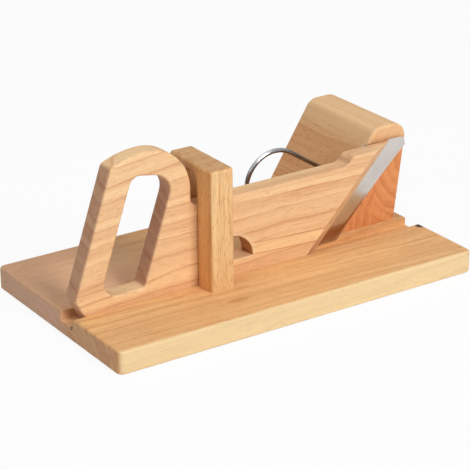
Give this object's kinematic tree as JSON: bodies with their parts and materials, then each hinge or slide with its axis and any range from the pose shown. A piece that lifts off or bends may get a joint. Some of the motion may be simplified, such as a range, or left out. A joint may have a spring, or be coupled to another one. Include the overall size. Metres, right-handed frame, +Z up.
{
  "type": "sausage guillotine",
  "caption": "Wooden sausage slicer: a handled board with a steel blade slides in a grooved base through a slotted gate, past a tilted stop block with a wire guide.",
  "frame": {"origin": "centre of the base board's underside", "axes": "+X along the base board towards the stop block, +Y to the back, +Z up"},
  "size_m": [0.345, 0.2, 0.1446],
  "materials": {
    "base_wood": "oiled rubberwood, fine sanded, long grain along the board",
    "gate_wood": "oiled rubberwood, upright grain",
    "block_wood": "oiled rubberwood, end grain to the front",
    "slide_wood": "oiled rubberwood, long grain along the arm",
    "blade_steel": "polished stainless steel",
    "wire_steel": "bright round steel wire",
    "screw_steel": "zinc-plated countersunk screws"
  },
  "bodies": {
    "base": {"base_board": "base_wood", "gate_frame": "gate_wood", "stop_block": "block_wood", "guide_hoop": "wire_steel", "gate_screws": "screw_steel", "stop_block_screws": "screw_steel"},
    "slider": {"slide_board": "slide_wood", "blade": "blade_steel", "blade_screws": "screw_steel"}
  },
  "joints": [
    {"name": "slider_travel", "type": "slide", "parent": "base", "child": "slider", "axis": [1, 0, 0], "range_m": [-0.105, 0.005]}
  ]
}
